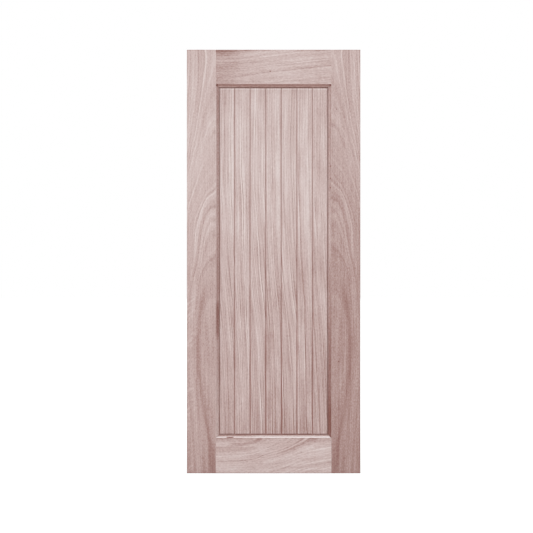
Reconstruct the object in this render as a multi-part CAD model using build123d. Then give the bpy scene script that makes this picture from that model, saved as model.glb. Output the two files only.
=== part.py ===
"""Hardwood exterior door leaf: stiles and rails with wedged through-tenons round a V-jointed panel in beads.

Millimetres. The origin is at the foot of the hinge edge, on the middle of the leaf's thickness. +X runs
across the leaf to the lock edge, +Z is up, and the face that is seen from outside looks along -Y.
"""

import os

from build123d import *

# Leaf
DOOR_WIDTH = 860.0
DOOR_HEIGHT = 2100.0
DOOR_THICKNESS = 40.0
STILE_WIDTH = 144.0
TOP_RAIL_HEIGHT = 170.0
BOTTOM_RAIL_HEIGHT = 175.0
ARRIS_RADIUS = 1.5  # easing of the long outer edges of both faces

# Mortise and tenon joints
TENON_THICKNESS = 14.0
TENON_HEIGHT = 92.0
TENON_INSET = 22.0  # from the rail's edge at the panel to the tenon
HAUNCH_LENGTH = 24.0  # stub that fills the stile's end, between the tenon and the rail's outer edge
WEDGE_LENGTH = 70.0
WEDGE_HEIGHT = 8.0  # at the stile's outer edge
WEDGE_TIP = 1.5  # at the thin end, inside the stile

# Board panel
BOARD_COVER = 77.5  # from one V to the next
BOARD_THICKNESS = 20.0
V_DEPTH = 4.6
TONGUE_THICKNESS = 5.0
TONGUE_LENGTH = 6.0
TONGUE_CLEARANCE = 0.2
EXPANSION_GAP = 2.0  # round the panel's sides and top, for the boards to swell
QUIRK_WIDTH = 6.0  # part of the panel's sunk margin that shows beside the beads
QUIRK_DEPTH = 5.0  # from the boards' face down to the sunk margin

# Beads
BEAD_WIDTH = 14.0
BEAD_LIP = 1.6  # flat at the outer edge
BEAD_TOE = 6.0  # upright at the quirk
BEAD_SETBACK = 0.8  # below the face of the frame
BEAD_HOLLOW = 2.1  # sagitta of the scooped face
MITRE_GAP = 0.6  # opened by the wood's shrinking

# Chip in the lip of the outside bottom bead
CHIP_LENGTH = 26.0
CHIP_WIDTH = 3.2
CHIP_DEPTH = 3.0
CHIP_FROM_HINGE_EDGE = 215.0

# Torn spots on the outside lock-side bead, beside its lip
TEAR_RADIUS = 3.4
TEAR_INSET = 5.2  # from the stile's edge
TEAR_LEVELS = (1416.0, 1463.0, 1523.0)

# Worked out from the sizes above
HALF_THICKNESS = DOOR_THICKNESS / 2
HALF_MARGIN = BOARD_THICKNESS / 2 - QUIRK_DEPTH
MARGIN_WIDTH = BEAD_WIDTH + QUIRK_WIDTH
OPENING_LEFT = STILE_WIDTH
OPENING_RIGHT = DOOR_WIDTH - STILE_WIDTH
OPENING_FOOT = BOTTOM_RAIL_HEIGHT
OPENING_HEAD = DOOR_HEIGHT - TOP_RAIL_HEIGHT
BEAD_HEIGHT = HALF_THICKNESS - HALF_MARGIN - BEAD_SETBACK
PANEL_LEFT = OPENING_LEFT + EXPANSION_GAP
PANEL_RIGHT = OPENING_RIGHT - EXPANSION_GAP


def span(x, y, z):
    """A block from its low and high limits on each axis."""
    low, high = zip(x, y, z)
    return Pos(*low) * Box(*(b - a for a, b in zip(low, high)), align=(Align.MIN,) * 3)


def across_thickness(width):
    return (-width / 2, width / 2)


def tenon_levels(rail_foot, rail_head, panel_is_above):
    """Low and high level of a rail's tenon, which stands clear of the rail's edge at the panel."""
    if panel_is_above:
        high = rail_head - TENON_INSET
        return high - TENON_HEIGHT, high
    low = rail_foot + TENON_INSET
    return low, low + TENON_HEIGHT


# Each rail: its foot, its head, its tenon's levels and its haunch's levels
TOP_TENON = tenon_levels(OPENING_HEAD, DOOR_HEIGHT, panel_is_above=False)
BOTTOM_TENON = tenon_levels(0, OPENING_FOOT, panel_is_above=True)
RAILS = {
    "top": (OPENING_HEAD, DOOR_HEIGHT, TOP_TENON, (TOP_TENON[1], DOOR_HEIGHT)),
    "bottom": (0, OPENING_FOOT, BOTTOM_TENON, (0, BOTTOM_TENON[0])),
}
# Each stile: its outer edge, its inner edge, and the direction from the panel outwards
STILES = {
    "hinge": (0, STILE_WIDTH, -1),
    "lock": (DOOR_WIDTH, OPENING_RIGHT, 1),
}


def face_arrises(solid, *levels):
    """The edges of both faces that run at the given (axis, position) lines round the leaf."""
    edges = solid.edges().filter_by(GeomType.LINE)
    on_a_face = [e for e in edges if abs(abs(e.center().Y) - HALF_THICKNESS) < 1e-6]
    return [e for e in on_a_face if any(abs(getattr(e.center(), axis) - at) < 1e-6 for axis, at in levels)]


def wedge(stile, level, outwards):
    """A wedge that is driven in beside a tenon, with its straight edge on the tenon at this level."""
    outer, _, side = STILES[stile]
    tip = outer - side * WEDGE_LENGTH
    outline = Polyline(
        (outer, level),
        (outer, level + outwards * WEDGE_HEIGHT),
        (tip, level + outwards * WEDGE_TIP),
        (tip, level),
        close=True,
    )
    return extrude(Plane.XZ * make_face(outline), TENON_THICKNESS / 2, both=True)


def wedges_of(stile, rail):
    """The upper and the lower wedge of one joint."""
    low, high = RAILS[rail][2]
    return {"upper": wedge(stile, high, 1), "lower": wedge(stile, low, -1)}


def haunch(stile, rail):
    """The short stub that keeps the rail's outer part in line with the stile."""
    _, inner, side = STILES[stile]
    ends = sorted((inner, inner + side * HAUNCH_LENGTH))
    return span(ends, across_thickness(TENON_THICKNESS), RAILS[rail][3])


def make_stile(name):
    outer, inner, _ = STILES[name]
    width = sorted((outer, inner))
    body = span(width, across_thickness(DOOR_THICKNESS), (0, DOOR_HEIGHT))
    body = fillet(face_arrises(body, ("X", outer), ("Z", 0), ("Z", DOOR_HEIGHT)), ARRIS_RADIUS)
    for rail, (_, _, tenon, _) in RAILS.items():
        body -= span(width, across_thickness(TENON_THICKNESS), tenon)
        body -= haunch(name, rail)
        for piece in wedges_of(name, rail).values():
            body -= piece
    return body


def make_rail(name):
    foot, head, tenon, _ = RAILS[name]
    outer_edge = head if name == "top" else foot
    body = span((OPENING_LEFT, OPENING_RIGHT), across_thickness(DOOR_THICKNESS), (foot, head))
    body = fillet(face_arrises(body, ("Z", outer_edge)), ARRIS_RADIUS)
    body += span((0, DOOR_WIDTH), across_thickness(TENON_THICKNESS), tenon)
    for stile in STILES:
        body += haunch(stile, name)
    return body


def board_limits():
    """Left and right limit of each board's face: whole boards in the middle, the outer two cut to fit."""
    seen = OPENING_RIGHT - OPENING_LEFT - 2 * MARGIN_WIDTH
    count = max(3, round(seen / BOARD_COVER))
    middle = (OPENING_LEFT + OPENING_RIGHT) / 2
    first_joint = middle - (count - 2) / 2 * BOARD_COVER
    joints = [first_joint + n * BOARD_COVER for n in range(count - 1)]
    return list(zip([PANEL_LEFT, *joints], [*joints, PANEL_RIGHT]))


def panel_envelope():
    """The panel's full thickness, and the thinner margin all round it that the beads hold."""
    field = span(
        (OPENING_LEFT + MARGIN_WIDTH, OPENING_RIGHT - MARGIN_WIDTH),
        across_thickness(BOARD_THICKNESS),
        (OPENING_FOOT + MARGIN_WIDTH, OPENING_HEAD - MARGIN_WIDTH),
    )
    margin = span(
        (OPENING_LEFT, OPENING_RIGHT),
        across_thickness(2 * HALF_MARGIN),
        (OPENING_FOOT, OPENING_HEAD),
    )
    return field + margin


def make_board(left, right):
    """One tongued and grooved board, with half a V on each jointed edge and its share of the margin."""
    has_groove = left > PANEL_LEFT
    has_tongue = right < PANEL_RIGHT
    section = Pos((left + right) / 2, 0) * Rectangle(right - left, BOARD_THICKNESS)
    corners = section.vertices().group_by(Axis.X)
    jointed = (corners[0] if has_groove else []) + (corners[-1] if has_tongue else [])
    section = chamfer(jointed, V_DEPTH)
    if has_tongue:
        at_edge = (Align.MIN, Align.CENTER)
        section += Pos(right, 0) * Rectangle(TONGUE_LENGTH, TONGUE_THICKNESS, align=at_edge)
    if has_groove:
        depth = TONGUE_LENGTH + TONGUE_CLEARANCE
        width = TONGUE_THICKNESS + 2 * TONGUE_CLEARANCE
        section -= Pos(left, 0) * Rectangle(depth, width, align=(Align.MIN, Align.CENTER))
    length = OPENING_HEAD - EXPANSION_GAP - OPENING_FOOT
    return Pos(0, 0, OPENING_FOOT) * extrude(section, length) & panel_envelope()


def bead_section():
    """The bead's section: X from the frame towards the panel, Y up from the panel's margin."""
    lip, toe = (BEAD_LIP, BEAD_HEIGHT), (BEAD_WIDTH, BEAD_TOE)
    outline = Polyline(lip, (0, BEAD_HEIGHT), (0, 0), (BEAD_WIDTH, 0), toe)
    scoop = SagittaArc(toe, lip, BEAD_HOLLOW)
    return make_face([*outline.edges(), scoop])


def make_bead(start, end):
    """The mitred outside bead from one corner of the opening to the next, anticlockwise from outside."""
    start = Vector(start[0], -HALF_MARGIN, start[1])
    end = Vector(end[0], -HALF_MARGIN, end[1])
    along = (end - start).normalized()
    outwards = Vector(0, -1, 0)
    inwards = outwards.cross(along)
    bead = extrude(Plane(start, x_dir=inwards, z_dir=along) * bead_section(), (end - start).length)
    for corner, keep in ((start, along), (end, -along)):
        square_to_mitre = (keep - inwards).normalized()
        mitre = Plane(corner + square_to_mitre * (MITRE_GAP / 2), x_dir=outwards, z_dir=square_to_mitre)
        bead = split(bead, bisect_by=mitre, keep=Keep.TOP)
    return bead


def chip():
    """The shallow segment that is broken out of the lip of the outside bottom bead."""
    radius = (CHIP_LENGTH**2 / 4 + CHIP_WIDTH**2) / (2 * CHIP_WIDTH)
    lip = -HALF_MARGIN - BEAD_HEIGHT
    disc = Rot(-90, 0, 0) * Cylinder(radius, CHIP_DEPTH, align=(Align.CENTER, Align.CENTER, Align.MIN))
    return Pos(CHIP_FROM_HINGE_EDGE, lip, OPENING_FOOT + CHIP_WIDTH - radius) * disc


def torn_spots():
    """The pits that are torn out of the outside lock-side bead, on the line from its lip to its toe."""
    fall = (BEAD_HEIGHT - BEAD_TOE) / (BEAD_WIDTH - BEAD_LIP)
    height = BEAD_HEIGHT - fall * (TEAR_INSET - BEAD_LIP)
    places = [(OPENING_RIGHT - TEAR_INSET, -HALF_MARGIN - height, level) for level in TEAR_LEVELS]
    return [Pos(*place) * Sphere(TEAR_RADIUS) for place in places]


def make_beads():
    """Four mitred beads on the outside, and the same four turned over to the inside."""
    low_left, low_right = (OPENING_LEFT, OPENING_FOOT), (OPENING_RIGHT, OPENING_FOOT)
    high_left, high_right = (OPENING_LEFT, OPENING_HEAD), (OPENING_RIGHT, OPENING_HEAD)
    sides = {
        "bottom": (low_left, low_right),
        "lock_side": (low_right, high_right),
        "top": (high_right, high_left),
        "hinge_side": (high_left, low_left),
    }
    beads = {}
    for side, corners in sides.items():
        bead = make_bead(*corners)
        beads[f"inside_bead_{side}"] = mirror(bead, about=Plane.XZ)
        beads[f"outside_bead_{side}"] = bead
    beads["outside_bead_bottom"] -= chip()
    beads["outside_bead_lock_side"] -= torn_spots()
    return beads


def make_door():
    """Every piece of the leaf by its node's name."""
    pieces = {f"{name}_stile": make_stile(name) for name in STILES}
    pieces |= {f"{name}_rail": make_rail(name) for name in RAILS}
    for number, (left, right) in enumerate(board_limits(), start=1):
        pieces[f"panel_board_{number}"] = make_board(left, right)
    pieces |= make_beads()
    for stile in STILES:
        for rail in RAILS:
            for place, piece in wedges_of(stile, rail).items():
                pieces[f"{rail}_{stile}_wedge_{place}"] = piece
    return pieces


def main():
    os.makedirs("parts", exist_ok=True)
    for name, piece in make_door().items():
        export_step(piece, f"parts/{name}.step")


main()
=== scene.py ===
import math
from dataclasses import dataclass

import bmesh
import bpy
from bpy.props import FloatProperty
from bpy.props import FloatVectorProperty
from bpy.props import PointerProperty
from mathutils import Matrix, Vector


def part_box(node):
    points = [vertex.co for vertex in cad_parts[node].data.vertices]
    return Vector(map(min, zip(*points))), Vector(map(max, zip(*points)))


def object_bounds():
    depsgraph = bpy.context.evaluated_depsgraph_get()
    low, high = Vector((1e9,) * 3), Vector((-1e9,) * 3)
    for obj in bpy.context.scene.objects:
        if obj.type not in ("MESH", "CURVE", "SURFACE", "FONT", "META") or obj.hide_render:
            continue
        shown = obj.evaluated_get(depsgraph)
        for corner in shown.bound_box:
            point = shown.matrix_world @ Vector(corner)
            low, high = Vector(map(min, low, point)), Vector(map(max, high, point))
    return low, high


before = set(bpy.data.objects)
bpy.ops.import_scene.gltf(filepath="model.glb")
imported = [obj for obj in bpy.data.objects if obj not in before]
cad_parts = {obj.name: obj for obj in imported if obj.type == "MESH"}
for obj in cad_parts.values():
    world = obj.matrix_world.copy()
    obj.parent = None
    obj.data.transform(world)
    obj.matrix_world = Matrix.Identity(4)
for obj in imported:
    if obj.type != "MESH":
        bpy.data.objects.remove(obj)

bl_info = {
    "name": "Hardwood Door Leaf",
    "version": (1, 0, 0),
    "blender": (4, 5, 0),
    "location": "3D View > Sidebar > Door Leaf",
    "description": "Dresses a framed and boarded door leaf in bare nyatoh and sets it in a white studio",
    "category": "Material",
}

MM = 0.001
AXES = "XYZ"
LEAF_LOW, LEAF_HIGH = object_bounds()
LEAF_MIDDLE = (LEAF_LOW + LEAF_HIGH) / 2
OUTSIDE_FACE = LEAF_LOW.y

# The picture, in its own pixels
PICTURE_SIZE = 533
LEAF_HEIGHT_IN_PICTURE = 423.5
LEAF_RIGHT_OF_MIDDLE = 7.1
LEAF_ABOVE_MIDDLE = 5.0

# Tone of the timber, which runs from 0, its deepest colour, to 1, its palest
DARK_TONE = 0.3
BODY_TONE = 0.6
PORE_CHANGE = -0.12
END_GRAIN_CHANGE = -0.16
MARK_CHANGE = -0.45
DARK_LINE_SHARE = -0.8  # what a dark growth line does to the tone, against a pale one
THREAD_SHARE = 0.35  # what fine threads do to the tone, against fibre streaks
CORE = 0.4  # share of a line's width, or of a mark's radius, that takes the whole change of tone
FADE = 0.06  # share of a piece's length over which a ring or a ripple fades out

# What shows of a noise, from where it starts to where it is whole
PALE_LINES = {"From Min": 0.54, "From Max": 0.70}
DARK_LINES = {"From Min": 0.44, "From Max": 0.28}
STRONG_PATCHES = {"From Min": 0.3, "From Max": 0.7, "To Min": 0.35, "To Max": 1.65}
RIPPLE_FLECKS = {"From Min": 0.5, "From Max": 0.7}
OPENED_PORES = {"From Min": 0.62, "From Max": 0.78}
SANDED_ROUGHNESS = {"From Min": 0.25, "From Max": 0.75, "To Min": 0.55, "To Max": 0.72}
CORNER_SHADE_SKY = {"From Min": 0.25, "From Max": 0.95}  # share of open sky at which the painted corner shade is whole, and at which there is none

# How far apart the noises start, so that no two pieces and no two patterns agree
PIECE_STEP = 0.7
PATTERN_STEP = 3.1

# Sizes of the grain
PORE_WIDTH = 1.1 * MM  # a real pore is 0.2 mm wide, drawn wider to show
PORE_DEPTH = 0.6  # how far a pore sinks, against the height of the nap
NAP_HEIGHT = 0.4 * MM
FLECK_LENGTH = 45 * MM
FLECK_WIDTH = 11 * MM
FLECK_LEAN = math.radians(35)

# Sockets of a Mix node that blends colours
FIRST_COLOUR = 6
SECOND_COLOUR = 7
BLEND = 2

# The stage, in metres
FLOOR_REACH = 40.0
LAMP_DISTANCE = 4.0  # only to find the lamp by, because a sun lights alike from anywhere


def linear(hex_colour):
    """An sRGB hex colour as linear red, green and blue."""
    channels = [int(hex_colour[i:i + 2], 16) / 255 for i in (1, 3, 5)]
    return tuple(c / 12.92 if c <= 0.04045 else ((c + 0.055) / 1.055) ** 2.4 for c in channels)


WHITE = (*linear("#FFFFFF"), 1.0)


def add(tree, kind, sockets=None, points=(), **settings):
    """Add a node with its settings.

    Sockets are filled with values or linked to outputs, and points shape a curve or a colour ramp.
    """
    node = tree.nodes.new("ShaderNode" + kind)
    for field, value in settings.items():
        setattr(node, field, value)
    for name, source in (sockets or {}).items():
        if isinstance(source, bpy.types.NodeSocket):
            tree.links.new(source, node.inputs[name])
        else:
            node.inputs[name].default_value = source
    if kind == "ValToRGB":
        stops = node.color_ramp.elements
        while len(stops) < len(points):
            stops.new(1.0)
        for stop, (at, colour) in zip(stops, points):
            stop.position = at
            stop.color = (*colour, 1.0)
    elif kind == "FloatCurve":
        knots = node.mapping.curves[0].points
        while len(knots) < len(points):
            knots.new(0.5, 0.5)
        for knot, location in zip(knots, points):
            knot.location = location
        node.mapping.update()
    return node


@dataclass(frozen=True)
class Cut:
    """How one piece was cut from its tree, and what that leaves to be seen on it.

    Places are in metres, and what has to do with rings is in millimetres. A share is one of the piece's
    length, from its low end.
    """

    along: str  # axis of the fibres
    start: float  # where the piece starts and ends on that axis
    end: float
    pith: tuple  # a point on the middle of the tree
    drift: tuple  # (share, how far the rings have moved by there)
    tone: tuple  # (share, tone there)
    seed: float  # where the noises start
    wander: float = 10.0  # how far the rings stray from true circles
    bands: float = 0.25  # how far broad growth bands change the tone
    lines: float = 0.10  # how far thin growth lines change it
    zones: float = 0.15  # how far long soft zones change it
    clouds: float = 0.2  # how far soft clouds, much shorter than the zones, change it
    streaks: float = 0.25  # how far fibre streaks change it
    mottle: float = 0.5  # how far the fine mottle of the cut fibres changes it
    figure: tuple = ((0.0, 1.0), (1.0, 1.0))  # (share, how strongly bands and lines show there)
    rings: tuple = ()  # (radius, width, change of tone, first share, last share) of rings that stand out
    edges: tuple = ()  # (axis, place, width, change of tone) of each line along an edge
    ripples: tuple = ()  # (axis, place, width, change of tone, last share) of each rippled strip
    marks: tuple = ()  # (place, radius) of each pin knot, torn spot, chip or dark spot at a mitre
    dust: tuple = ((0.0, 0.6), (1.0, 0.6))  # (share, how much painted shade the corners take there)
    reach: float = 7.0 * MM  # how far out of a corner the painted shade comes
    leaning: bool = False  # the fibres lean as the rings do
    mirrored: bool = False  # the image of the next piece from the same log

    @property
    def axis(self):
        """The number of the fibres' axis."""
        return AXES.index(self.along)


COLOUR = {"subtype": "COLOR", "size": 3, "min": 0.0, "max": 1.0}


class DoorTimber(bpy.types.PropertyGroup):
    """Colours and grain of the bare timber"""

    pale: FloatVectorProperty(
        name="Pale Streak",
        description="Lightest streaks of the wood",
        default=linear("#E6DAD8"),
        **COLOUR,
    )
    body: FloatVectorProperty(
        name="Body",
        description="Common colour of the wood",
        default=linear("#CCB6B3"),
        **COLOUR,
    )
    dark: FloatVectorProperty(
        name="Dark Band",
        description="Growth bands that took up more colour",
        default=linear("#AA8A85"),
        **COLOUR,
    )
    deep: FloatVectorProperty(
        name="Deep",
        description="Pin knots, torn spots and the darkest stretches",
        default=linear("#84574F"),
        **COLOUR,
    )
    # Colour of the painted shade that darkens corners, grooves and quirks
    dust: FloatVectorProperty(
        name="Corner Shade",
        description="Sanding dust and dark sap that gather in corners and grooves",
        default=linear("#9E6C62"),
        **COLOUR,
    )
    band_distance: FloatProperty(
        name="Band Distance",
        description="Distance between broad growth bands, measured from the middle of the tree",
        unit="LENGTH",
        default=18.0 * MM,
    )
    line_distance: FloatProperty(
        name="Line Distance",
        description="Distance between thin growth lines, measured from the middle of the tree",
        unit="LENGTH",
        default=5.0 * MM,
    )
    fibre_width: FloatProperty(
        name="Fibre Streak Width",
        description="Width of the streaks that bundles of fibres draw",
        unit="LENGTH",
        default=4.0 * MM,
    )
    pore_length: FloatProperty(
        name="Pore Length",
        description="Length of an opened pore on a planed face",
        unit="LENGTH",
        default=14.0 * MM,
    )
    # The lines along these edges are painted shade and painted highlights on the arrises
    edge_line: FloatProperty(
        name="Edge Line",
        description="Width of the darker or paler line along the edges of the stiles and rails",
        unit="LENGTH",
        default=4.0 * MM,
    )


class DoorStudio(bpy.types.PropertyGroup):
    """Floor, light and camera"""

    key: FloatProperty(
        name="Key Light",
        description="Strength of the soft light from above",
        default=2.98,
    )
    key_colour: FloatVectorProperty(
        name="Key Colour",
        description="Colour of the soft light from above, that of daylight",
        default=linear("#E2F9FF"),
        **COLOUR,
    )
    key_softness: FloatProperty(
        name="Key Softness",
        description="Angle that the soft light takes up as seen from the leaf",
        subtype="ANGLE",
        default=math.radians(90),
    )
    key_direction: FloatVectorProperty(
        name="Key Direction",
        description="Way from the leaf to the soft light: above, a little to the left and in front",
        subtype="DIRECTION",
        size=3,
        default=(-0.19, -0.26, 0.66),
    )
    sky: FloatProperty(
        name="Room Light",
        description="Strength of the even light from all round",
        default=0.885,
    )
    sky_colour: FloatVectorProperty(
        name="Room Colour",
        description="Colour of the even light, close to white",
        default=linear("#F7FFFD"),
        **COLOUR,
    )
    floor: FloatVectorProperty(
        name="Floor",
        description="Colour of the floor as the leaf sees it, that of the same wood",
        default=linear("#A67C72"),
        **COLOUR,
    )
    floor_seen: FloatVectorProperty(
        name="Floor Seen",
        description="Colour of the floor's paint as the camera sees it",
        default=linear("#FFFAF9"),
        **COLOUR,
    )
    floor_white: FloatProperty(
        name="Floor White",
        description="Share of plain white in the floor as the camera sees it, beside its lit paint",
        subtype="FACTOR",
        min=0.0,
        max=1.0,
        default=0.7,
    )
    lens: FloatProperty(
        name="Lens",
        description="Focal length of the camera in millimetres, long for a flat view",
        unit="CAMERA",
        default=100.0,
    )


def along_length(tree, share, points):
    """A value that changes smoothly along a piece, through its (share, value) points."""
    values = [value for _, value in points]
    low = min(values)
    room = max(values) - low or 1.0
    bend = [(at, (value - low) / room) for at, value in points]
    curve = add(tree, "FloatCurve", {"Value": share}, bend).outputs["Value"]
    return add(tree, "MapRange", {"Value": curve, "To Min": low, "To Max": low + room}).outputs["Result"]


def fibre_patterns(tree, cut, timber, place):
    """Patterns by chance that are drawn out along the fibres, each from 0 to 1."""
    # What the fibres draw goes by the width of a fibre streak
    fibre = timber.fibre_width
    widths_lengths_details = {
        "wander": (110 * MM, 520 * MM, 3),
        "patch": (60 * MM, 420 * MM, 1),
        "zone": (6 * fibre, 225 * fibre, 1),
        "streak": (1.2 * fibre, 60 * fibre, 2),
        "thread": (0.6 * fibre, 20 * fibre, 1),
        "pore": (PORE_WIDTH, timber.pore_length, 0),
        "mottle": (0.8 * fibre, 2.4 * fibre, 1),
        "cloud": (12 * fibre, 36 * fibre, 1),
    }
    patterns = {}
    for number, (what, (width, length, detail)) in enumerate(widths_lengths_details.items()):
        scale = [1 / width] * 3
        scale[cut.axis] = 1 / length
        shift = (cut.seed * (number + 1), cut.seed * PIECE_STEP, number * PATTERN_STEP)
        vector = add(tree, "Mapping", {"Vector": place, "Location": shift, "Scale": scale})
        noise = {"Vector": vector.outputs["Vector"], "Scale": 1.0, "Detail": detail}
        patterns[what] = add(tree, "TexNoise", noise).outputs["Fac"]
    return patterns


def growth_rings(tree, cut, timber, place, share, drift, patterns):
    """What the rings add to the tone: bands and lines by chance, and the rings that stand out."""
    flat = [1.0, 1.0, 1.0]
    flat[cut.axis] = 0.0
    spoke = add(tree, "VectorMath", {0: place, 1: flat}, operation="MULTIPLY").outputs["Vector"]
    radius = add(tree, "VectorMath", {0: spoke}, operation="LENGTH").outputs["Value"]
    radius = add(tree, "Math", {0: radius, 1: MM}, operation="DIVIDE").outputs[0]
    radius = add(tree, "Math", {0: radius, 1: drift}, operation="ADD").outputs[0]
    stray = {"Value": patterns["wander"], "To Min": -cut.wander, "To Max": cut.wander}
    stray = add(tree, "MapRange", stray).outputs["Result"]
    radius = add(tree, "Math", {0: radius, 1: stray}, operation="ADD").outputs[0]

    # Broad bands and thin lines by chance, strong in some patches and weak in others
    distances_details = {"band": (timber.band_distance, 2.0), "line": (timber.line_distance, 1.0)}
    chance = {}
    for what, (distance, detail) in distances_details.items():
        count = {0: radius, 1: MM / distance, 2: cut.seed}
        count = add(tree, "Math", count, operation="MULTIPLY_ADD").outputs[0]
        noise = {"W": count, "Scale": 1.0, "Detail": detail}
        chance[what] = add(tree, "TexNoise", noise, noise_dimensions="1D").outputs["Fac"]
    change = {"Value": chance["band"], "To Min": -0.5 * cut.bands, "To Max": 0.5 * cut.bands}
    change = add(tree, "MapRange", change).outputs["Result"]
    for shown, amount in ((PALE_LINES, cut.lines), (DARK_LINES, DARK_LINE_SHARE * cut.lines)):
        line = {"Value": chance["line"], "To Max": amount, **shown}
        line = add(tree, "MapRange", line, interpolation_type="SMOOTHSTEP").outputs["Result"]
        change = add(tree, "Math", {0: change, 1: line}, operation="ADD").outputs[0]
    figure = along_length(tree, share, cut.figure)
    strength = add(tree, "MapRange", {"Value": patterns["patch"], **STRONG_PATCHES}).outputs["Result"]
    for part in (figure, strength):
        change = add(tree, "Math", {0: change, 1: part}, operation="MULTIPLY").outputs[0]

    # Rings that stand out
    for at, width, amount, first, last in cut.rings:
        apart = add(tree, "Math", {0: radius, 1: at}, operation="SUBTRACT").outputs[0]
        apart = add(tree, "Math", {0: apart}, operation="ABSOLUTE").outputs[0]
        ring = {"Value": apart, "From Max": width, "To Min": amount, "To Max": 0.0}
        ring = add(tree, "MapRange", ring, interpolation_type="SMOOTHSTEP").outputs["Result"]
        for gone, whole in ((first - FADE, first), (last + FADE, last)):
            shown = {"Value": share, "From Min": gone, "From Max": whole}
            shown = add(tree, "MapRange", shown).outputs["Result"]
            ring = add(tree, "Math", {0: ring, 1: shown}, operation="MULTIPLY").outputs[0]
        change = add(tree, "Math", {0: change, 1: ring}, operation="ADD").outputs[0]
    return change


def beside(tree, way, at, width, amount):
    """A change of tone along a line across one axis, which fades out over its width."""
    apart = add(tree, "Math", {0: way, 1: at}, operation="SUBTRACT").outputs[0]
    apart = add(tree, "Math", {0: apart}, operation="ABSOLUTE").outputs[0]
    line = {"Value": apart, "From Min": CORE * width, "From Max": width, "To Min": amount, "To Max": 0.0}
    return add(tree, "MapRange", line, interpolation_type="SMOOTHSTEP").outputs["Result"]


def rippled(tree, place):
    """Flecks that lean across the fibres where these ripple, from 0 to 1."""
    size = (FLECK_LENGTH, FLECK_LENGTH, FLECK_WIDTH)
    lean = {"Vector": place, "Rotation": (0, FLECK_LEAN, 0), "Scale": size}
    lean = add(tree, "Mapping", lean, vector_type="TEXTURE").outputs["Vector"]
    noise = add(tree, "TexNoise", {"Vector": lean, "Scale": 1.0, "Detail": 1.0}).outputs["Fac"]
    fleck = {"Value": noise, **RIPPLE_FLECKS}
    return add(tree, "MapRange", fleck, interpolation_type="SMOOTHSTEP").outputs["Result"]


def local_changes(tree, cut, coordinates, axes, place, share):
    """Changes of tone that belong to places: sawn ends, edges, rippled strips and marks."""
    fibres = [0.0, 0.0, 0.0]
    fibres[cut.axis] = 1.0
    facing = add(tree, "VectorMath", {0: coordinates["Normal"], 1: fibres}, operation="DOT_PRODUCT")
    end_grain = add(tree, "Math", {0: facing.outputs["Value"]}, operation="ABSOLUTE").outputs[0]
    changes = [add(tree, "Math", {0: end_grain, 1: END_GRAIN_CHANGE}, operation="MULTIPLY").outputs[0]]
    for axis, at, width, amount in cut.edges:
        changes.append(beside(tree, axes[axis], at, width, amount))
    for axis, at, width, amount, last in cut.ripples:
        strip = beside(tree, axes[axis], at, width, amount)
        shown = {"Value": share, "From Min": last + FADE, "From Max": last}
        shown = add(tree, "MapRange", shown).outputs["Result"]
        for part in (rippled(tree, place), shown):
            strip = add(tree, "Math", {0: strip, 1: part}, operation="MULTIPLY").outputs[0]
        changes.append(strip)
    for spot, size in cut.marks:
        apart = add(tree, "VectorMath", {0: coordinates["Object"], 1: spot}, operation="DISTANCE")
        mark = {"Value": apart.outputs["Value"], "From Min": CORE * size, "From Max": size}
        mark = add(tree, "MapRange", {**mark, "To Min": MARK_CHANGE, "To Max": 0.0})
        changes.append(mark.outputs["Result"])
    return changes


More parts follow.
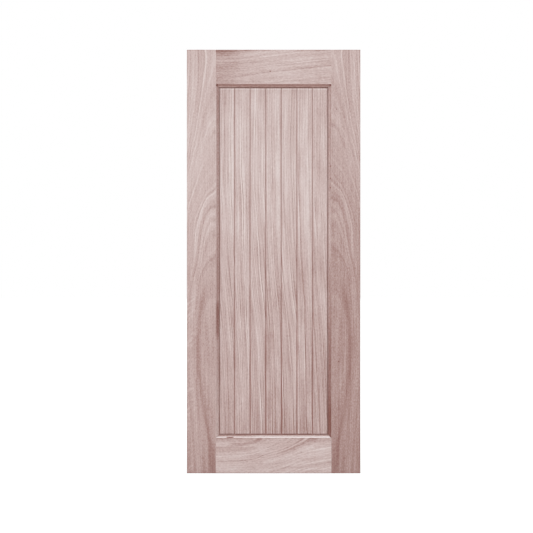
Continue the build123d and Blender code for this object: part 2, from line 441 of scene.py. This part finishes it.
def nyatoh(name, cut, timber):
    """Bare nyatoh, sawn, planed or moulded and sanded, with no finish on it.

    Growth bands and lines run where the saw met the rings. Pale and dark streaks follow the fibres, and
    opened pores are short dark dashes. The surface is matt with a slight nap, and painted shade darkens
    its corners.
    The grain goes through the wood, so that sawn ends show rings.
    """
    material = bpy.data.materials.new(name)
    material.use_nodes = True
    tree = material.node_tree
    tree.nodes.clear()
    coordinates = add(tree, "TexCoord").outputs
    axes = add(tree, "SeparateXYZ", {"Vector": coordinates["Object"]}).outputs
    share = {"Value": axes[cut.along], "From Min": cut.start, "From Max": cut.end}
    share = add(tree, "MapRange", share).outputs["Result"]
    hand = (-1.0 if cut.mirrored else 1.0, 1.0, 1.0)
    to_pith = [-p * h for p, h in zip(cut.pith, hand)]
    place = {0: coordinates["Object"], 1: hand, 2: to_pith}
    place = add(tree, "VectorMath", place, operation="MULTIPLY_ADD").outputs["Vector"]
    drift = along_length(tree, share, cut.drift)
    fibre_place = place
    if cut.leaning:
        aside = add(tree, "Math", {0: drift, 1: MM}, operation="MULTIPLY").outputs[0]
        aside = add(tree, "CombineXYZ", {"X": aside}).outputs["Vector"]
        fibre_place = add(tree, "VectorMath", {0: place, 1: aside}, operation="ADD").outputs["Vector"]
    patterns = fibre_patterns(tree, cut, timber, fibre_place)
    pores = add(tree, "MapRange", {"Value": patterns["pore"], **OPENED_PORES}).outputs["Result"]

    # Tone: the length's own, then what rings, fibres, pores and places do to it
    tone = along_length(tree, share, cut.tone)
    changes = [growth_rings(tree, cut, timber, place, share, drift, patterns)]
    about = {
        "zone": cut.zones,
        "cloud": cut.clouds,
        "streak": cut.streaks,
        "thread": THREAD_SHARE * cut.streaks,
        "mottle": cut.mottle,
    }
    for what, amount in about.items():
        change = {"Value": patterns[what], "To Min": -0.5 * amount, "To Max": 0.5 * amount}
        changes.append(add(tree, "MapRange", change).outputs["Result"])
    changes.append(add(tree, "Math", {0: pores, 1: PORE_CHANGE}, operation="MULTIPLY").outputs[0])
    changes.extend(local_changes(tree, cut, coordinates, axes, place, share))
    for change in changes:
        tone = add(tree, "Math", {0: tone, 1: change}, operation="ADD").outputs[0]
    stops = ((0.0, timber.deep), (DARK_TONE, timber.dark), (BODY_TONE, timber.body), (1.0, timber.pale))
    colour = add(tree, "ValToRGB", {"Fac": tone}, stops).outputs["Color"]

    # Painted shade in the corners, grooves and hollows, where ambient occlusion finds little open sky
    open_sky = add(tree, "AmbientOcclusion", {"Distance": cut.reach}, samples=8).outputs["AO"]
    shade_amount = along_length(tree, share, cut.dust)
    dust = {"Value": open_sky, "To Min": shade_amount, "To Max": 0.0, **CORNER_SHADE_SKY}
    dust = add(tree, "MapRange", dust).outputs["Result"]
    dusty = {0: dust, FIRST_COLOUR: colour, SECOND_COLOUR: (*timber.dust, 1.0)}
    colour = add(tree, "Mix", dusty, data_type="RGBA").outputs[BLEND]

    # Nap of the sanded surface
    nap = {0: pores, 1: -PORE_DEPTH, 2: patterns["thread"]}
    nap = add(tree, "Math", nap, operation="MULTIPLY_ADD").outputs[0]
    bump = add(tree, "Bump", {"Height": nap, "Strength": 0.35, "Distance": NAP_HEIGHT}).outputs["Normal"]
    rough = add(tree, "MapRange", {"Value": patterns["streak"], **SANDED_ROUGHNESS}).outputs["Result"]
    surface = {
        "Base Color": colour,
        "Roughness": rough,
        "Normal": bump,
        "IOR": 1.5,
        "Specular IOR Level": 0.2,
    }
    shader = add(tree, "BsdfPrincipled", surface)
    add(tree, "OutputMaterial", {"Surface": shader.outputs["BSDF"]})
    return material


def cut_of(node, along, **look):
    """A piece's cut, with its ends taken from the frame."""
    low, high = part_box(node)
    axis = AXES.index(along)
    return Cut(along=along, start=low[axis], end=high[axis], **look)


def dress(context, node, cut, material_name):
    """Put its own timber on one piece of the leaf."""
    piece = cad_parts[node]
    if not piece.material_slots:
        raise RuntimeError(f"{node} has no slot for its timber")
    material = nyatoh(f"{material_name} {node}", cut, context.scene.door_timber)
    for slot in piece.material_slots:
        slot.material = material


# Stiles: drift along the bow below and the arches above, and the rings that stand out, as Cut has them
STILE_PITH_DEPTH = 200 * MM  # from the outside face to the middle of the tree
BOW_RADIUS = 223
BOW_FOOT = 0.15  # share of the length, from the foot, over which a bow that lies further out gets there
STILE_BOW = (
    (0.0, 23.8),
    (0.04, 21.9),
    (0.061, 21),
    (0.082, 19.3),
    (0.11, 17.3),
    (0.146, 13.6),
    (0.17, 12.7),
    (0.19, 11.6),
    (0.213, 9.8),
    (0.257, 5.9),
    (0.3, 5.4),
    (0.34, 6.6),
    (0.373, 9.3),
    (0.395, 11.1),
    (0.417, 14.4),
)
STILE_ARCHES = (
    (0.46, 21),
    (0.5, 31),
    (0.55, 37),
    (0.6, 42.5),
    (0.66, 58.5),
    (0.75, 83),
    (0.86, 102),
    (0.97, 112),
)
BOW_RING = (BOW_RADIUS, 8, -0.145, 0.235, 0.40)
STILE_RINGS = (
    (BOW_RADIUS, 3, -0.14, 0.0, 0.08),
    (BOW_RADIUS, 5, -0.105, 0.14, 0.18),
    (242, 8, 0.07, 0.0, 0.42),
    (234, 1.5, -0.09, 0.42, 0.54),
    (239.5, 1, -0.06, 0.5, 0.64),
    (241.7, 1, 0.10, 0.5, 0.64),
    (243.3, 1, -0.07, 0.5, 0.64),
    (245.5, 1.3, 0.09, 0.5, 0.66),
    (249.7, 2.6, -0.14, 0.48, 0.68),
    (254, 1.2, -0.05, 0.54, 0.68),
    (258, 4, 0.07, 0.52, 0.62),
    (260, 1.5, 0.20, 0.57, 0.70),
    (262.4, 1, -0.09, 0.58, 0.70),
    (265, 2, 0.09, 0.58, 0.70),
    (290, 2, 0.17, 0.6, 0.69),
    (293.5, 2, 0.14, 0.74, 0.74),
    (299, 2, 0.12, 0.79, 0.82),
    (303, 9, 0.05, 0.55, 0.75),
    (308, 2.5, 0.10, 0.64, 0.70),
    (312, 2, 0.12, 0.75, 0.76),
    (319, 2, 0.15, 0.8, 1.0),
)
STILE_FIGURE = (
    (0.0, 0.6),
    (0.15, 0.3),
    (0.42, 0.3),
    (0.5, 0.4),
    (0.68, 0.4),
    (0.78, 0.9),
    (1.0, 0.9),
)
RIPPLE_WIDTH = 62 * MM
RIPPLE_CHANGE = 0.12
RIPPLE_TOP = 0.42  # share of the length
# The bow lies further out by millimetres, and the arches are higher by a share of the length
STILE_LOOKS = {
    "hinge_stile": {
        "tone": (
            (0.0, 0.34),
            (0.03, 0.40),
            (0.08, 0.44),
            (0.3, 0.475),
            (0.5, 0.565),
            (0.7, 0.65),
            (1.0, 0.595),
        ),
        "bow_further_out": 0.0,
        "arches_higher": 0.0,
        "ring_strength": 1.15,
        "outer_line": -0.05,
        "rippled": True,
        "marks": (),
    },
    "lock_stile": {
        "tone": (
            (0.0, 0.29),
            (0.03, 0.32),
            (0.08, 0.335),
            (0.3, 0.365),
            (0.6, 0.45),
            (0.75, 0.51),
            (1.0, 0.565),
        ),
        "bow_further_out": 2.0,
        "arches_higher": 0.02,
        "ring_strength": 0.75,
        "outer_line": -0.16,
        "rippled": False,
        "marks": (
            ((743 * MM, OUTSIDE_FACE, 1805 * MM), 4 * MM),
            ((753 * MM, OUTSIDE_FACE, 554 * MM), 4 * MM),
        ),
    },
}


class DOORLEAF_OT_dress_stiles(bpy.types.Operator):
    """Dress both stiles, which are cut as mirror images so that their arches face each other"""

    bl_idname = "doorleaf.dress_stiles"
    bl_label = "Dress Stiles"

    def execute(self, context):
        line = context.scene.door_timber.edge_line
        for node, look in STILE_LOOKS.items():
            low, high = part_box(node)
            is_left = node == "hinge_stile"
            inner, outer = (high.x, low.x) if is_left else (low.x, high.x)
            out = look["bow_further_out"]
            bow = ((at, moved - out * min(1.0, at / BOW_FOOT)) for at, moved in STILE_BOW)
            arches = ((at + look["arches_higher"], moved) for at, moved in STILE_ARCHES)
            strength = look["ring_strength"]
            rings = ((at, width, strength * change, *ends) for at, width, change, *ends in STILE_RINGS)
            ripple = ("X", outer, RIPPLE_WIDTH, RIPPLE_CHANGE, RIPPLE_TOP)
            cut = cut_of(
                node,
                "Z",
                pith=(inner, OUTSIDE_FACE + STILE_PITH_DEPTH, 0),
                drift=(*bow, *arches),
                tone=look["tone"],
                seed=2.0,
                bands=0.14,
                lines=0.12,
                clouds=0.1,
                streaks=0.34,
                figure=STILE_FIGURE,
                rings=(BOW_RING, *rings),
                # The dark lines along the ends and the outer edge are painted shade on the arrises, and
                # the pale line along the inner edge is a painted highlight
                edges=(
                    ("Z", low.z, line, -0.17),
                    ("Z", high.z, line, -0.29),
                    ("X", inner, line, 0.06),
                    ("X", outer, line, look["outer_line"]),
                ),
                ripples=(ripple,) if look["rippled"] else (),
                marks=look["marks"],
                mirrored=is_left,
            )
            dress(context, node, cut, "planed nyatoh, flat-sawn")
        return {"FINISHED"}


# Rails: drift, tone and rings of each, as Cut has them, from the hinge side on
TOP_RAIL_DRIFT = (
    (0.0, 0),
    (0.17, 0),
    (0.29, -3),
    (0.45, -22),
    (0.55, -31),
    (0.83, -55),
    (1.0, -68),
)
TOP_RAIL_TONE = (
    (0.0, 0.45),
    (0.2, 0.46),
    (0.28, 0.53),
    (0.4, 0.63),
    (0.6, 0.65),
    (0.8, 0.59),
    (1.0, 0.57),
)
TOP_RAIL_RINGS = (
    (306, 4, -0.14, 0.3, 1.0),
    (377, 5, -0.08, 0.2, 0.7),
    (383, 6, 0.18, 0.2, 0.7),
    (440, 32, -0.25, 0.0, 0.5),
)
BOTTOM_RAIL_DRIFT = (
    (0.0, 0),
    (0.175, 0),
    (0.252, 2),
    (0.329, 6),
    (0.387, 12),
    (0.445, 29),
    (0.541, 50),
    (0.589, 63),
    (0.656, 83),
    (0.724, 97),
    (0.786, 105),
    (0.825, 111),
    (1.0, 130),
)
BOTTOM_RAIL_TONE = ((0.0, 0.60), (0.5, 0.598), (1.0, 0.627))
BOTTOM_RAIL_RINGS = (
    (84, 10, -0.20, 0.28, 0.48),
    (92, 4, -0.16, 0.0, 0.27),
    (104, 14, -0.11, 0.0, 0.36),
    (130, 13, 0.14, 0.0, 0.33),
    (150, 5, -0.19, 0.0, 0.7),
    (155.5, 4, 0.14, 0.42, 0.7),
    (164, 12, -0.20, 0.56, 0.74),
    (187, 14, 0.09, 0.45, 0.7),
    (200, 6, 0.20, 0.62, 0.83),
    (213, 14, 0.09, 0.66, 1.0),
    (228, 5, 0.16, 0.55, 0.60),
    (236, 6, -0.09, 0.48, 0.56),
    (240, 5, 0.16, 0.65, 0.66),
    (251, 5, 0.18, 0.71, 1.0),
    (256, 5, 0.20, 0.5, 0.58),
    (263, 7, -0.12, 0.66, 0.9),
    (268, 5, 0.18, 0.63, 0.65),
    (279, 5, 0.19, 0.70, 0.73),
    (288, 5, 0.18, 0.79, 1.0),
)


def dress_rail(context, node, behind, below, edges, **look):
    """Dress a rail whose tree's middle lay behind its outside face and below its foot.

    An edge is (0 for the foot or 1 for the head, width of its line, change of tone).
    """
    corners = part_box(node)
    cut = cut_of(
        node,
        "X",
        pith=(0, OUTSIDE_FACE + behind, corners[0].z - below),
        edges=tuple(("Z", corners[end].z, width, change) for end, width, change in edges),
        wander=5.0,
        **look,
    )
    dress(context, node, cut, "planed nyatoh, flat-sawn")


class DOORLEAF_OT_dress_rails(bpy.types.Operator):
    """Dress the top and bottom rail, whose grain runs across the leaf"""

    bl_idname = "doorleaf.dress_rails"
    bl_label = "Dress Rails"

    def execute(self, context):
        line = context.scene.door_timber.edge_line
        dress_rail(
            context,
            "top_rail",
            behind=80 * MM,
            below=260 * MM,
            # A painted highlight along the foot, above the top bead, and painted shade along the head, the
            # leaf's top edge
            edges=((0, line, 0.05), (1, line, -0.25), (1, 14 * MM, -0.06)),
            drift=TOP_RAIL_DRIFT,
            tone=TOP_RAIL_TONE,
            rings=TOP_RAIL_RINGS,
            marks=(((413 * MM, OUTSIDE_FACE, 1993 * MM), 5 * MM),),
            seed=5.0,
        )
        dress_rail(
            context,
            "bottom_rail",
            behind=60 * MM,
            below=-195 * MM,
            # Painted shade along the foot, the leaf's bottom edge, and darker lines along the head, where
            # the bottom bead meets it
            edges=((0, line, -0.18), (1, line, -0.14), (1, 35 * MM, -0.06)),
            drift=BOTTOM_RAIL_DRIFT,
            tone=BOTTOM_RAIL_TONE,
            rings=BOTTOM_RAIL_RINGS,
            bands=0.14,
            lines=0.07,
            streaks=0.28,
            seed=9.0,
        )
        return {"FINISHED"}


# Boards, from the hinge side on: each one's share of the common drift, and its own lift of the common tone
BOARD_LEANS = (1.0, 0.6, 1.1, 0.8, 1.2, 0.5, 0.9)
BOARD_LIFTS = (0.0, 0.01, 0.01, 0.0, -0.01, -0.015, -0.025)
BOARD_DRIFT = ((0.0, 0), (0.15, 6), (0.6, 60), (0.8, 70), (1.0, 66))
BOARD_TONE = (
    (0.0, 0.42),
    (0.26, 0.55),
    (0.42, 0.575),
    (0.55, 0.635),
    (0.66, 0.70),
    (0.75, 0.72),
    (0.85, 0.69),
    (1.0, 0.635),
)
BOARD_RINGS = {"panel_board_7": ((330, 26, -0.14, 0.0, 0.24),)}
BOARD_PITH_ASIDE = 240 * MM  # beyond the board's edge on the hinge side
BOARD_PITH_DEPTH = 90 * MM  # behind the middle of the leaf
# How much painted shade the corners take at the foot, on the outer boards and on the inner ones
OUTER_FOOT_SHADE = 0.75
INNER_FOOT_SHADE = 1.5
# A painted highlight runs across all boards just below the top bead, as a pale line
HIGHLIGHT_BELOW_BEAD = 10 * MM
HIGHLIGHT_WIDTH = 5 * MM
HIGHLIGHT_CHANGE = 0.16


class DOORLEAF_OT_dress_boards(bpy.types.Operator):
    """Dress the panel's boards, each with its own streaks"""

    bl_idname = "doorleaf.dress_boards"
    bl_label = "Dress Boards"

    def execute(self, context):
        boards = sorted(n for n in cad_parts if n.startswith("panel_board"))
        if len(boards) != len(BOARD_LEANS):
            raise RuntimeError(f"The panel has {len(boards)} boards, and {len(BOARD_LEANS)} have a look")
        bead_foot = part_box("outside_bead_top")[0].z
        painted_highlight = ("Z", bead_foot - HIGHLIGHT_BELOW_BEAD, HIGHLIGHT_WIDTH, HIGHLIGHT_CHANGE)
        for number, (node, lean, lift) in enumerate(zip(boards, BOARD_LEANS, BOARD_LIFTS)):
            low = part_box(node)[0]
            is_outer = node in (boards[0], boards[-1])
            foot_dust = OUTER_FOOT_SHADE if is_outer else INNER_FOOT_SHADE
            cut = cut_of(
                node,
                "Z",
                pith=(low.x - BOARD_PITH_ASIDE, BOARD_PITH_DEPTH, 0),
                drift=tuple((at, moved * lean) for at, moved in BOARD_DRIFT),
                tone=tuple((at, value + lift) for at, value in BOARD_TONE),
                seed=20.0 + 3.7 * number,
                wander=16.0,
                bands=0.3,
                lines=0.2,
                zones=0.34,
                clouds=0.26,
                streaks=0.58,
                mottle=0.36,
                rings=BOARD_RINGS.get(node, ()),
                # A painted highlight just below the top bead
                edges=(painted_highlight,),
                # Painted shade in the grooves and beside the beads, most of it at the foot
                dust=((0.0, foot_dust), (0.2, foot_dust), (0.35, 0.9), (1.0, 0.8)),
                reach=8.0 * MM,
                leaning=True,
            )
            dress(context, node, cut, "planed nyatoh, quarter-sawn")
        return {"FINISHED"}


# Beads: tone along each, dark spots as (x, z, radius) in millimetres, and painted highlights along edges
BEAD_TONES = {
    "bottom": ((0.0, 0.34), (1.0, 0.34)),
    "top": ((0.0, 0.46), (1.0, 0.46)),
    "hinge_side": (
        (0.0, 0.52),
        (0.1, 0.44),
        (0.27, 0.36),
        (0.31, 0.06),
        (0.36, 0.06),
        (0.40, 0.32),
        (1.0, 0.35),
    ),
    "lock_side": (
        (0.0, 0.02),
        (0.05, 0.0),
        (0.1, 0.12),
        (0.28, 0.225),
        (0.39, 0.36),
        (0.62, 0.56),
        (0.78, 0.46),
        (1.0, 0.44),
    ),
}
CHIP = [(x, 176, 6) for x in range(199, 230, 5)]
# Dark spots where the beads meet at the two top mitres
TOP_MITRE_SPOTS = [(148, 1925, 8), (712, 1925, 8)]
TORN_SPOTS = [(711, level, 5) for level in (1416, 1463, 1523)]
BEAD_SPOTS = {
    "bottom": CHIP,
    "top": TOP_MITRE_SPOTS,
    "hinge_side": TOP_MITRE_SPOTS,
    "lock_side": TOP_MITRE_SPOTS + TORN_SPOTS,
}
SPOT_DEPTH = 3 * MM  # behind the front of the bead
PAINTED_HIGHLIGHTS = {  # painted highlights along the bottom bead's lip and the hinge-side bead's outer edge: (axis, distance from the bead's low corner, width, change of tone)
    "bottom": (("Z", 3 * MM, 5 * MM, 0.45),),
    "hinge_side": (("X", 0, 6 * MM, 0.24),),
}
BEAD_TO_PITH = Vector((-160, -120, -160)) * MM  # from a bead's low corner to the middle of its tree
BEAD_SEEDS = {"outside": 60.0, "inside": 71.0}


class DOORLEAF_OT_dress_beads(bpy.types.Operator):
    """Dress the mitred beads on both faces"""

    bl_idname = "doorleaf.dress_beads"
    bl_label = "Dress Beads"

    def execute(self, context):
        for face, first_seed in BEAD_SEEDS.items():
            for number, (side, tone) in enumerate(BEAD_TONES.items()):
                node = f"{face}_bead_{side}"
                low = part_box(node)[0]
                front = low.y + SPOT_DEPTH
                spots = BEAD_SPOTS[side] if face == "outside" else ()
                # Painted highlights along some of the beads' edges
                edges = []
                for axis, inset, width, change in PAINTED_HIGHLIGHTS.get(side, ()):
                    edges.append((axis, low[AXES.index(axis)] + inset, width, change))
                cut = cut_of(
                    node,
                    "Z" if side.endswith("side") else "X",
                    pith=low + BEAD_TO_PITH,
                    drift=((0.0, 0), (1.0, 6)),
                    tone=tone,
                    seed=first_seed + 2.3 * number,
                    bands=0.2,
                    edges=tuple(edges),
                    marks=tuple(((x * MM, front, z * MM), size * MM) for x, z, size in spots),
                    # A little painted shade in the beads' hollows
                    dust=((0.0, 0.25), (1.0, 0.25)),
                )
                dress(context, node, cut, "moulded nyatoh")
        return {"FINISHED"}


# Wedges
WEDGE_TO_PITH = Vector((0, -40, -30)) * MM  # from a wedge's low corner to the middle of its tree


class DOORLEAF_OT_dress_wedges(bpy.types.Operator):
    """Dress the tenon wedges, whose sawn ends show on the leaf's edges"""

    bl_idname = "doorleaf.dress_wedges"
    bl_label = "Dress Wedges"

    def execute(self, context):
        wedges = sorted(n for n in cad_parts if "_wedge_" in n)
        if not wedges:
            raise RuntimeError("The leaf has no tenon wedges")
        for number, node in enumerate(wedges):
            cut = cut_of(
                node,
                "X",
                pith=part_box(node)[0] + WEDGE_TO_PITH,
                drift=((0.0, 0), (1.0, 2)),
                tone=((0.0, 0.40), (1.0, 0.40)),
                seed=90.0 + 1.9 * number,
            )
            dress(context, node, cut, "sawn nyatoh")
        return {"FINISHED"}


def seen_directly(tree):
    """1 for what the camera sees, straight, mirrored or through glass, and 0 for light that bounces."""
    path = add(tree, "LightPath").outputs
    mirrored = {0: path["Is Glossy Ray"], 1: path["Is Transmission Ray"]}
    mirrored = add(tree, "Math", mirrored, operation="MAXIMUM").outputs[0]
    return add(tree, "Math", {0: path["Is Camera Ray"], 1: mirrored}, operation="MAXIMUM").outputs[0]


def matt_paint(studio):
    """Matt paint, rolled on: an even white with no gloss, on which only the leaf's shadow shows.

    Light that bounces off it on to the leaf has the colour of a wooden floor.
    """
    material = bpy.data.materials.new("rolled matt paint")
    material.use_nodes = True
    tree = material.node_tree
    tree.nodes.clear()
    seen = seen_directly(tree)
    paint = {0: seen, FIRST_COLOUR: (*studio.floor, 1.0), SECOND_COLOUR: (*studio.floor_seen, 1.0)}
    paint = add(tree, "Mix", paint, data_type="RGBA").outputs[BLEND]
    paint = add(tree, "BsdfDiffuse", {"Color": paint}).outputs["BSDF"]
    white = add(tree, "Emission", {"Color": WHITE, "Strength": 1.0}).outputs["Emission"]
    whiten = add(tree, "Math", {0: seen, 1: studio.floor_white}, operation="MULTIPLY").outputs[0]
    surface = add(tree, "MixShader", {0: whiten, 1: paint, 2: white}).outputs[0]
    add(tree, "OutputMaterial", {"Surface": surface})
    return material


def make_floor(context, studio):
    """A wide plain floor that looks white and keeps the leaf's shadow."""
    mesh = bpy.data.meshes.new("floor")
    shape = bmesh.new()
    bmesh.ops.create_grid(shape, x_segments=1, y_segments=1, size=FLOOR_REACH)
    shape.to_mesh(mesh)
    shape.free()
    floor = bpy.data.objects.new("floor", mesh)
    floor.location.z = LEAF_LOW.z
    context.scene.collection.objects.link(floor)
    mesh.materials.append(matt_paint(studio))


def light_room(context, studio):
    """Even light from all round, in front of a white background."""
    world = bpy.data.worlds.new("white studio")
    world.use_nodes = True
    tree = world.node_tree
    tree.nodes.clear()
    soft = add(tree, "Background", {"Color": (*studio.sky_colour, 1.0), "Strength": studio.sky}).outputs[0]
    white = add(tree, "Background", {"Color": WHITE, "Strength": 1.0}).outputs[0]
    surface = add(tree, "MixShader", {0: seen_directly(tree), 1: soft, 2: white}).outputs[0]
    add(tree, "OutputWorld", {"Surface": surface})
    context.scene.world = world


def light_key(context, studio):
    """A soft light from above, a little to the left and in front."""
    lamp = bpy.data.lights.new("key light", "SUN")
    lamp.energy = studio.key
    lamp.color = studio.key_colour
    lamp.angle = studio.key_softness
    key = bpy.data.objects.new("key light", lamp)
    towards_light = Vector(studio.key_direction)
    key.rotation_euler = towards_light.to_track_quat("Z", "Y").to_euler()
    key.location = LEAF_MIDDLE + LAMP_DISTANCE * towards_light
    context.scene.collection.objects.link(key)


def aim_camera(context, studio):
    """A long lens square to the outside face, placed so that the leaf sits where the picture has it."""
    lens = bpy.data.cameras.new("camera")
    lens.lens = studio.lens
    camera = bpy.data.objects.new("camera", lens)
    metres_per_pixel = (LEAF_HIGH.z - LEAF_LOW.z) / LEAF_HEIGHT_IN_PICTURE
    width_of_view = PICTURE_SIZE * metres_per_pixel
    distance = width_of_view * lens.lens / lens.sensor_width
    camera.location = (
        LEAF_MIDDLE.x - LEAF_RIGHT_OF_MIDDLE * metres_per_pixel,
        OUTSIDE_FACE - distance,
        LEAF_MIDDLE.z - LEAF_ABOVE_MIDDLE * metres_per_pixel,
    )
    camera.rotation_euler = (math.radians(90), 0, 0)
    context.scene.collection.objects.link(camera)
    context.scene.camera = camera


class DOORLEAF_OT_set_stage(bpy.types.Operator):
    """Make the floor, the lights and the camera"""

    bl_idname = "doorleaf.set_stage"
    bl_label = "Set Stage"

    def execute(self, context):
        studio = context.scene.door_studio
        make_floor(context, studio)
        light_room(context, studio)
        light_key(context, studio)
        aim_camera(context, studio)
        context.scene.view_settings.view_transform = "Standard"
        return {"FINISHED"}


class DOORLEAF_PT_leaf(bpy.types.Panel):
    """The leaf's colours, sizes and steps"""

    bl_idname = "DOORLEAF_PT_leaf"
    bl_label = "Door Leaf"
    bl_space_type = "VIEW_3D"
    bl_region_type = "UI"
    bl_category = "Door Leaf"

    def draw(self, context):
        for settings in (context.scene.door_timber, context.scene.door_studio):
            column = self.layout.column()
            for name in settings.__annotations__:
                column.prop(settings, name)
        for step in STEPS:
            self.layout.operator(step.bl_idname)


STEPS = (
    DOORLEAF_OT_dress_stiles,
    DOORLEAF_OT_dress_rails,
    DOORLEAF_OT_dress_boards,
    DOORLEAF_OT_dress_beads,
    DOORLEAF_OT_dress_wedges,
    DOORLEAF_OT_set_stage,
)
CLASSES = (DoorTimber, DoorStudio, *STEPS, DOORLEAF_PT_leaf)


def register():
    for cls in CLASSES:
        bpy.utils.register_class(cls)
    bpy.types.Scene.door_timber = PointerProperty(type=DoorTimber)
    bpy.types.Scene.door_studio = PointerProperty(type=DoorStudio)


def unregister():
    del bpy.types.Scene.door_studio
    del bpy.types.Scene.door_timber
    for cls in reversed(CLASSES):
        bpy.utils.unregister_class(cls)


def main():
    """Build the look in order."""
    register()
    bpy.ops.doorleaf.dress_stiles()
    bpy.ops.doorleaf.dress_rails()
    bpy.ops.doorleaf.dress_boards()
    bpy.ops.doorleaf.dress_beads()
    bpy.ops.doorleaf.dress_wedges()
    bpy.ops.doorleaf.set_stage()


if __name__ == "__main__":
    main()
